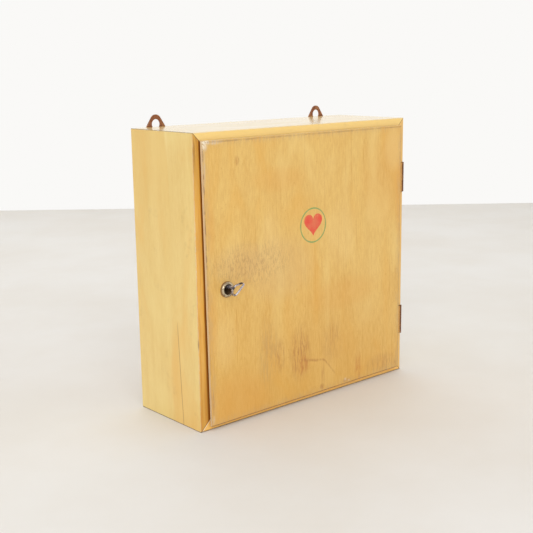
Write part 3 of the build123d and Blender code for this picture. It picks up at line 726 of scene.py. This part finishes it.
# %% [markdown]
# The rim of the face is greyed wood that fades into the varnish over a centimetre, with a dark rubbed
# line just inside the arris, white chips at the upper left corner and a brown line of painted shade
# along the foot. The boards' edge distance would do for a true box, but the face is out of true. Its
# distances are taken from its leaning left edge and its rising lower edge instead.

# %% Worn rim of the door
RIM_GREY = paint(196, 162, 114)
RIM_DARK = paint(150, 112, 76)
CHIP_WHITE = paint(248, 236, 212)
# brown of the painted shade along the door's foot
FOOT_SHADE_BROWN = paint(140, 88, 40)
line_below_top = 2.2 * MM


def rim_distances(finish):
    """How far in a point of the face is from its left, right, lower and upper edge."""
    from_left = finish.minus(finish.x, door_left_edge(finish))
    from_right = finish.minus(panel_high.x, finish.x)
    along = finish.minus(finish.x, panel_low.x)
    lower = finish.calc("MULTIPLY_ADD", along, foot_rise / panel_width, panel_low.z)
    from_bottom = finish.minus(finish.z, lower)
    from_top = finish.minus(panel_high.z, finish.z)
    return from_left, from_right, from_bottom, from_top


def lay_patina(door, streaks, rim):
    """Greyed wood, from the edge in. Its mask is given back, because it is also rougher."""
    patina = door.ease(ragged(door, rim, 9 * MM, 70), 0.0, 12 * MM, 0.5, 0.0)
    door.lay(RIM_GREY, patina, streaks)
    return patina


def lay_rubbed_line(door, from_left, from_right, from_bottom, from_top):
    """A broken dark line along all four edges, strongest at the upper left. Its mask is given back."""
    below_top = door.calc("ABSOLUTE", door.minus(from_top, line_below_top))
    rubbed = door.least(from_left, from_right, from_bottom, door.times(below_top, 1.6))
    worn = door.ease(ragged(door, rubbed, 1.6 * MM, 300), 0.5 * MM, 2.2 * MM, 0.9, 0.0)
    broken = door.ease(door.noise(door.place, scale=70, detail=4, rough=0.7), 0.4, 0.6, 0.3, 1.0)
    upper = door.ease(door.z, 0.14, 0.24, 0.35, 0.95)
    door.lay(RIM_DARK, worn, broken, door.ease(from_left, 2 * MM, 14 * MM, upper, 0.5))
    return worn


def lay_chips_and_foot_shade(door, from_left, from_bottom, from_top):
    chips = door.ease(door.noise(door.place, scale=420, detail=3), 0.44, 0.54)
    corner = door.calc("ADD", from_left, from_top)
    door.lay(CHIP_WHITE, chips, door.ease(corner, 6 * MM, 17 * MM, 0.95, 0.0))
    # a brown line along the door's foot, as painted shade
    lip = ragged(door, from_bottom, 0.6 * MM, 120)
    door.lay(FOOT_SHADE_BROWN, door.ease(lip, 0.4 * MM, 1.6 * MM, 0.9, 0.0))


print("rubbed line", line_below_top / MM, "mm below the top edge")

# %% [markdown]
# The door's edges show how thin its face is: three plies, of which the middle one is darker. The side
# that looks into the cabinet stayed bare. Both could be meshes of their own, but they differ only in
# colour, and how far back a point lies says which of them it is on.

# %% Plies and the finished door
PLY_EDGE = paint(238, 216, 178)
PLY_DARK = paint(184, 146, 98)
ply_middle = panel_low.y + 2.1 * MM


def lay_plies(door):
    layer = door.near(door.y, ply_middle, 0.75 * MM)
    ply = door.mix(door.ease(layer, 0.3, 0.7), PLY_EDGE, PLY_DARK)
    door.lay(ply, door.ease(door.y, panel_low.y + 0.55 * MM, panel_low.y + 0.8 * MM))


def lay_bare_inside(door, figure):
    bare = wood_colour(door, figure, paint(230, 206, 160), paint(196, 162, 112), LIVELY)
    bare = warm_clouds(door, bare, (7.0, 0.0, 2.0), paint(214, 178, 124), paint(232, 212, 172), 0.6)
    door.lay(bare, door.ease(door.y, panel_high.y - 0.3 * MM, panel_high.y - 0.1 * MM))


def door_face():
    door = Finish("door_face")
    figure = wood_figure(door, "z", (0.7, 0.0, 1.3))
    streaks = grain_streaks(door)
    from_left, from_right, from_bottom, from_top = rim_distances(door)
    face_wood(door, figure)
    lay_stains(door, streaks)
    lay_marks(door, streaks)
    patina = lay_patina(door, streaks, door.least(from_left, from_right, from_bottom, from_top))
    worn = lay_rubbed_line(door, from_left, from_right, from_bottom, from_top)
    lay_chips_and_foot_shade(door, from_left, from_bottom, from_top)
    lay_plies(door)
    lay_bare_inside(door, figure)
    door.bump(figure["flecks"], 0.05 * MM)
    door.bump(figure["bands"], 0.10 * MM)
    door.bump(door.times(worn, -1.0), 0.25 * MM)
    rough = door.calc("MULTIPLY_ADD", patina, 0.25, door.ease(figure["clouds"], 0.3, 0.7, 0.36, 0.46))
    return door.done(rough, Coat_Weight=0.25, Coat_Roughness=0.2)


door_varnish = door_face()
print("door face has", len(door_varnish.node_tree.nodes), "nodes")

# %% [markdown]
# Behind the door the wood was never varnished: shelves, battens, the door's frame and the plywood back
# are pale and dry. They could share one finish, but their grain runs along three different axes, so
# each direction gets its own from the same function, with the same figure and a little dust.

# %% Bare wood
DUST = paint(178, 160, 134)


def bare_wood(name, axis, shift, light=paint(226, 204, 160), dark=paint(204, 172, 122)):
    finish = Finish(name)
    figure = wood_figure(finish, axis, shift)
    finish.colour = wood_colour(finish, figure, light, dark)
    dust = finish.noise(finish.place, scale=18, detail=4, rough=0.7)
    finish.lay(DUST, finish.ease(dust, 0.5, 0.75, 0.0, 0.25))
    finish.bump(figure["flecks"], 0.06 * MM)
    finish.bump(figure["bands"], 0.10 * MM)
    return finish.done(finish.ease(figure["bands"], 0.3, 0.7, 0.62, 0.78))


bare_upright = bare_wood("bare_upright", "z", (2.0, 1.0, 0.5))
bare_level = bare_wood("bare_level", "x", (4.0, 3.0, 1.5))
bare_deep = bare_wood("bare_deep", "y", (6.0, 0.2, 2.5))
back_plywood = bare_wood("back_plywood", "z", (5.0, 9.0, 1.0), paint(214, 184, 136), paint(190, 152, 104))
print("bare woods", [m.name for m in (bare_upright, bare_level, bare_deep, back_plywood)])

# %% [markdown]
# The metals differ in how they have aged. The hanging plates and the hinges have a copper brown skin of
# rust, the ring round the keyhole is tarnished plating with a bright rubbed crown, and the key is still
# silver. Rust is rougher and less metallic than what it grows on. Two shaders could be mixed, but the
# export reads one, so one mask drives the colour, the roughness and the metal of a single shader.

# %% Aged metal
SKIN_METAL = 0.4


def aged_metal(name, clean, aged, coverage, rough, scale, bare=1.0, shift=(0, 0, 0), over=None):
    """Clean metal under a patchy aged skin that covers about the given share of it. Rough is that of
    the metal and that of the skin, bare says how metallic the clean part is, and over adds a coat.
    """
    finish = Finish(name)
    broad = finish.noise(finish.stretched((1, 1, 1), shift), scale=scale, detail=4, rough=0.65)
    fine = finish.noise(finish.place, scale=scale * 6, detail=2)
    amount = finish.calc("MULTIPLY_ADD", fine, 0.25, finish.minus(broad, 0.125))
    middle = 0.5 + (0.5 - coverage) * 0.6
    skin = finish.ease(amount, middle - 0.1, middle + 0.1)
    tone = finish.ease(fine, 0.3, 0.7)
    finish.colour = clean
    finish.lay(finish.mix(tone, aged, tuple(0.6 * c for c in aged[:3]) + (1.0,)), skin)
    metal = finish.calc("MULTIPLY_ADD", skin, SKIN_METAL - bare, bare)
    if over:
        covered, light, dark = over(finish)
        finish.lay(finish.mix(tone, light, dark), covered)
        metal = finish.times(metal, finish.minus(1.0, covered))
    finish.feed(finish.shader.inputs["Metallic"], metal)
    finish.bump(fine, 0.05 * MM)
    finish.bump(skin, 0.08 * MM)
    return finish.done(finish.ease(skin, 0.0, 1.0, *rough))


print("rust is", SKIN_METAL, "metallic")

# %% [markdown]
# Two metals carry something more. Whoever varnished the cabinet ran the brush over the hinge leaves, so
# these are golden up to the barrel. The ring is brown where it meets the door and dark brown down its
# bore. Both could be thin meshes of their own, but have next to no thickness, so they are a second
# coat in the same shader, placed by the barrel's edge and by the distance from the ring's axis.

# %% Varnish on the hinges and brown on the ring
barrel_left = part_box("hinge_upper_pin")[0].x
ring_x = (rosette_low.x + rosette_high.x) / 2
ring_z = (rosette_low.z + rosette_high.z) / 2
ring_half = (rosette_high.x - rosette_low.x) / 2
bore_radius = 0.6 * ring_half


def varnished_over(finish):
    """Golden varnish brushed over the leaves in front of the carcass, thinner away from the barrel."""
    border = ragged(finish, finish.x, 0.5 * MM, 300)
    left = finish.ease(border, barrel_left - 1.3 * MM, barrel_left - 1.7 * MM)
    thinning = ragged(finish, finish.x, 5 * MM, 130)
    reach = finish.ease(thinning, barrel_left - 11 * MM, barrel_left - 5 * MM, 0.35, 0.95)
    in_front = finish.ease(finish.y, left_low.y + 0.2 * MM, left_low.y)
    return finish.times(left, reach, in_front), paint(226, 172, 88), paint(190, 134, 64)


def brown_rim_and_bore(finish):
    """Brown near the ring's outer edge and dark brown near its bore. The distance from the axis
    is the root of both distances squared and added.
    """
    across = finish.minus(finish.x, ring_x)
    up = finish.minus(finish.z, ring_z)
    squares = finish.calc("MULTIPLY_ADD", across, across, finish.times(up, up))
    radius = ragged(finish, finish.calc("SQRT", squares), 0.6 * MM, 400)
    outer = finish.ease(radius, ring_half - 1.3 * MM, ring_half - 0.3 * MM, 0.0, 0.9)
    inner = finish.ease(radius, bore_radius + 0.9 * MM, bore_radius + 0.2 * MM, 0.0, 0.95)
    light = finish.mix(inner, paint(150, 112, 66), paint(120, 88, 58))
    dark = finish.mix(inner, paint(104, 72, 38), paint(40, 26, 16))
    return finish.calc("MAXIMUM", outer, inner), light, dark


hinge_rust = aged_metal("hinge_rust", paint(168, 124, 84), paint(136, 88, 56), 0.6, (0.35, 0.6), 140,
                        over=varnished_over)
plate_rust = aged_metal("plate_rust", paint(196, 142, 104), paint(166, 106, 74), 0.6, (0.35, 0.6), 110)
ring_plating = aged_metal("ring_plating", paint(206, 190, 160), paint(138, 112, 78), 0.35, (0.18, 0.34),
                          260, over=brown_rim_and_bore)
key_plating = aged_metal("key_plating", paint(216, 210, 218), paint(84, 72, 68), 0.45, (0.2, 0.4), 150,
                         bare=0.75, shift=(0.013, 0.0, 0.004))
lock_steel = aged_metal("lock_steel", paint(176, 172, 164), paint(150, 132, 110), 0.35, (0.38, 0.5), 60,
                        bare=0.8)
screw_steel = aged_metal("screw_steel", paint(150, 140, 124), paint(112, 84, 58), 0.5, (0.3, 0.55), 300)
metals = (hinge_rust, plate_rust, ring_plating, key_plating, lock_steel, screw_steel)
print("metals", [m.name for m in metals])

# %% [markdown]
# Each packed node keeps its shape and gets its finish in its first material slot. Forty-three nodes could
# be named one by one, but they come in families, so a table gives the start of a name and its finish.
# Screws and pins are alike in every family, and are told by how their names end.

# %% Dress the packed nodes
DRESS = {
    "side_panel_left": left_varnish,
    "side_panel_right": right_varnish,
    "top_panel": top_varnish,
    "bottom_panel": bottom_varnish,
    "door_panel": door_varnish,
    "back_panel": back_plywood,
    "shelf_": bare_level,
    "batten_": bare_deep,
    "door_stop_": bare_upright,
    "door_stile_": bare_upright,
    "door_rail_": bare_level,
    "mitre_splines": bare_deep,
    "hinge_": hinge_rust,
    "hanger_": plate_rust,
    "lock_rosette": ring_plating,
    "lock_key": key_plating,
    "lock_": lock_steel,
    "strike_plate": lock_steel,
}


def dress(node, piece):
    """Screws and pins are steel, others go by the longest name in the table that theirs starts with."""
    fitting = [name for name in DRESS if node.startswith(name)]
    material = screw_steel if node.endswith(("_screws", "_pins")) else DRESS[max(fitting, key=len)]
    piece.data.materials.clear()
    piece.data.materials.append(material)


for node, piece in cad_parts.items():
    dress(node, piece)
print("dressed", len(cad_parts), "nodes")

# %% [markdown]
# New pieces could be modelled by hand from Blender's primitives, but a formula gives the same mesh each
# time. A grid of points, with rows along one parameter and columns along the other, is joined into quads,
# and either parameter may close on itself.

# %% Grid surfaces
merge_reach = 0.0001 * MM


def grid_mesh(name, points, closed_rows=False, closed_columns=False):
    """A mesh from an array of rows by columns by three, joining each point to its next neighbours.

    Points in the same place become one, which closes rows that shrink to a single point.
    """
    rows, columns = points.shape[:2]
    index = np.arange(rows * columns).reshape(rows, columns)
    if closed_rows:
        index = np.vstack([index, index[:1]])
    if closed_columns:
        index = np.hstack([index, index[:, :1]])
    quads = np.stack([index[:-1, :-1], index[:-1, 1:], index[1:, 1:], index[1:, :-1]], axis=-1)
    mesh = bpy.data.meshes.new(name)
    mesh.from_pydata(points.reshape(-1, 3).tolist(), [], quads.reshape(-1, 4).tolist())
    shape = bmesh.new()
    shape.from_mesh(mesh)
    bmesh.ops.remove_doubles(shape, verts=shape.verts, dist=merge_reach)
    shape.to_mesh(mesh)
    shape.free()
    return mesh


def add_piece(name, mesh, body, material):
    piece = into_scene(name, mesh)
    mesh.materials.append(material)
    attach(piece, body)
    print(name, "has", len(mesh.polygons), "faces")


print("points within", merge_reach / MM, "mm become one")

# %% [markdown]
# A small printed sign sits above the middle of the door: a thin green ring with a red heart in it. It is
# a transfer whose colour has worn through to the wood in specks. It could be drawn in the door's own
# material, but a skin a tenth of a millimetre thick has a crisp outline and its own shape in the export.

# %% Print colours
sign_x, sign_z = 3 * MM, 259 * MM
print_height, print_sunk = 0.1 * MM, 0.05 * MM


def worn_print(name, colour):
    finish = Finish(name)
    rubbed = finish.noise(finish.stretched((700, 700, 90)), detail=4, rough=0.7)
    tone = finish.noise(finish.place, scale=90, detail=3)
    finish.colour = colour
    finish.lay(paint(214, 150, 96), finish.ease(tone, 0.3, 0.7, 0.0, 0.35))
    finish.lay(FACE_LIGHT, finish.ease(rubbed, 0.62, 0.72, 0.0, 0.85))
    finish.bump(rubbed, 0.03 * MM)
    return finish.done(0.42, Coat_Weight=0.2, Coat_Roughness=0.2)


sign_green = worn_print("sign_green", paint(122, 164, 92))
sign_red = worn_print("sign_red", paint(228, 72, 50))
print("sign at", round(sign_x / MM), "and", round(sign_z / MM), "mm")

# %% [markdown]
# The ring could be a squashed torus, but a print is flat with square edges, so a circle carries a thin
# four-sided section round. Its back is sunk into the door a little, so that no light shows behind it.

# %% Ring of the sign
ring_radius, ring_line = 24.3 * MM, 1.8 * MM


def ring_surface(steps=160):
    """Across is a radius times the sine of an angle and up the radius times its cosine. The radius and
    the height over the door go round a four-sided section.
    """
    angle = np.linspace(0, 2 * np.pi, steps, endpoint=False)[:, None]
    radius = ring_radius + ring_line * np.array([[-0.5, 0.5, 0.5, -0.5]])
    height = np.array([[-print_sunk, -print_sunk, print_height, print_height]])
    x = sign_x + radius * np.sin(angle)
    z = sign_z + radius * np.cos(angle)
    y = panel_front - height + 0 * angle
    return np.stack([x, y, z], axis=-1)


ring_mesh = grid_mesh("sign_ring", ring_surface(), closed_rows=True, closed_columns=True)
add_piece("sign_ring", ring_mesh, "door", sign_green)

# %% [markdown]
# The heart could be traced by hand, but a known curve draws it with one angle. The curve is scaled down
# in steps towards its middle, over the back and over the front, which closes the piece.

# %% Heart of the sign
heart_half_width = 17.5 * MM


def heart_surface(steps=96, rings=10):
    """The heart curve: across is the sine cubed. Up is a sixteenth of 2.5 and 13 cosines of the angle,
    less 5 of twice, 2 of three times and 1 of four times the angle. Rings of it go from the middle of
    the back out to the edge and in again over the front.
    """
    turn = np.linspace(0, 2 * np.pi, steps, endpoint=False)
    across = np.sin(turn) ** 3
    up = (13 * np.cos(turn) - 5 * np.cos(2 * turn) - 2 * np.cos(3 * turn) - np.cos(4 * turn) + 2.5) / 16
    size = np.concatenate([[0.0, 1.0], np.linspace(1.0, 0.0, rings)])[:, None]
    height = np.concatenate([[-print_sunk, -print_sunk], np.full(rings, print_height)])[:, None]
    x = sign_x + heart_half_width * size * across[None]
    z = sign_z + heart_half_width * size * up[None]
    y = panel_front - height + 0 * x
    return np.stack([x, y, z], axis=-1)


heart_mesh = grid_mesh("sign_heart", heart_surface(), closed_columns=True)
add_piece("sign_heart", heart_mesh, "door", sign_red)

# %% [markdown]
# The floor is pale concrete and the wall behind it a plain white sheet. Both are stage, not object. A
# bright wall could be had from a strong lamp, which would bleach the cabinet. Instead the wall shows
# white to the camera and in reflections only, and gives no light of its own to the cabinet.

# %% Floor and wall
FLOOR_LIGHT = paint(231, 229, 226)
FLOOR_DARK = paint(226, 222, 216)
wall_distance = 1.86


def stage_plane(name, corners, material):
    mesh = bpy.data.meshes.new(name)
    mesh.from_pydata(corners, [], [(0, 1, 2, 3)])
    mesh.materials.append(material)
    plane = into_scene(name, mesh)


def floor_finish():
    finish = Finish("floor_concrete")
    cloud = finish.noise(finish.place, scale=2.2, detail=5, rough=0.6)
    finish.colour = finish.mix(finish.ease(cloud, 0.3, 0.7), FLOOR_LIGHT, FLOOR_DARK)
    return finish.done(0.7)


def wall_finish():
    """Camera, mirror and glass rays see an even white. All other rays find a plain white sheet."""
    finish = Finish("wall_sheet")
    path = finish.add("ShaderNodeLightPath")
    seen = finish.calc("MAXIMUM", path.outputs["Is Camera Ray"], path.outputs["Is Glossy Ray"])
    seen = finish.calc("MAXIMUM", seen, path.outputs["Is Transmission Ray"])
    glow = finish.add("ShaderNodeEmission")
    glow.inputs["Color"].default_value = paint(250, 249, 247)
    choice = finish.add("ShaderNodeMixShader")
    finish.feed(choice.inputs[0], seen)
    finish.feed(choice.inputs[1], finish.shader.outputs[0])
    finish.feed(choice.inputs[2], glow.outputs[0])
    finish.feed(finish.tree.nodes["Material Output"].inputs["Surface"], choice.outputs[0])
    finish.colour = paint(238, 237, 234)
    return finish.done(1.0, Specular_IOR_Level=0.0)


def add_stage(reach=6.0):
    """A square floor, and a wall across the camera's azimuth at its distance from the middle."""
    corners = [(-reach, -reach, 0), (reach, -reach, 0), (reach, reach, 0), (-reach, reach, 0)]
    stage_plane("floor", corners, floor_finish())
    away = Vector((math.sin(camera_azimuth), math.cos(camera_azimuth), 0))
    along = Vector((away.y, -away.x, 0))
    foot = away * wall_distance
    corners = [foot - along * reach, foot + along * reach]
    corners += [corners[1] + Vector((0, 0, reach)), corners[0] + Vector((0, 0, reach))]
    stage_plane("wall", [tuple(c) for c in corners], wall_finish())


add_stage()
print("wall", wall_distance, "m behind the cabinet's middle")

# %% [markdown]
# The room is bright and even, with a large window on the left. Many lamps could stand for it, but the
# world does that with one number. Metal needs something to mirror, so reflections see white ahead and a
# dimmer room behind the camera. Two large lamps add the soft fall of light from left to right.

# %% World and lamps


def set_world(strength, behind):
    """One strength for matt surfaces, and white for the camera. The world's place is the direction
    looked in: mirrors see the behind strength where it points back, and white where it points ahead.
    """
    world = bpy.data.worlds.new("soft_studio")
    world.use_nodes = True
    bpy.context.scene.world = world
    room = Nodes(world.node_tree, "Generated")
    background = room.tree.nodes["Background"]
    background.inputs["Color"].default_value = paint(252, 251, 249)
    ahead = room.add("ShaderNodeVectorMath", operation="DOT_PRODUCT")
    room.feed(ahead.inputs[0], room.place)
    ahead.inputs[1].default_value = (math.sin(camera_azimuth), math.cos(camera_azimuth), 0)
    mirrored = room.ease(ahead.outputs["Value"], -0.3, 0.4, behind, 1.0)
    path = room.add("ShaderNodeLightPath")
    reflected = room.calc("MAXIMUM", path.outputs["Is Glossy Ray"], path.outputs["Is Transmission Ray"])
    unseen = room.calc("MULTIPLY_ADD", reflected, room.minus(mirrored, strength), strength)
    shown = room.calc("MAXIMUM", unseen, path.outputs["Is Camera Ray"])
    room.feed(background.inputs["Strength"], shown)


def add_lamp(name, place, target, size, power):
    light = bpy.data.lights.new(name, "AREA")
    light.shape = "RECTANGLE"
    light.size, light.size_y = size
    light.energy = power
    lamp = into_scene(name, light)
    aim = (Vector(target) - Vector(place)).to_track_quat("-Z", "Y")
    lamp.matrix_world = Matrix.Translation(place) @ aim.to_matrix().to_4x4()
    print(name, "gives", power, "watts")


set_world(strength=0.90, behind=0.45)
add_lamp("window_left", (-1.9, -2.4, 2.0), (0, 0, 0.2), size=(3.0, 2.7), power=43)
add_lamp("window_back", (1.0, 1.5, 1.5), (0, 0, 0.3), size=(2.4, 1.2), power=12)

# %% [markdown]
# The picture keeps the colours as they were mixed: the Standard view and nothing after it.

# %% Close
bpy.context.scene.view_settings.view_transform = "Standard"
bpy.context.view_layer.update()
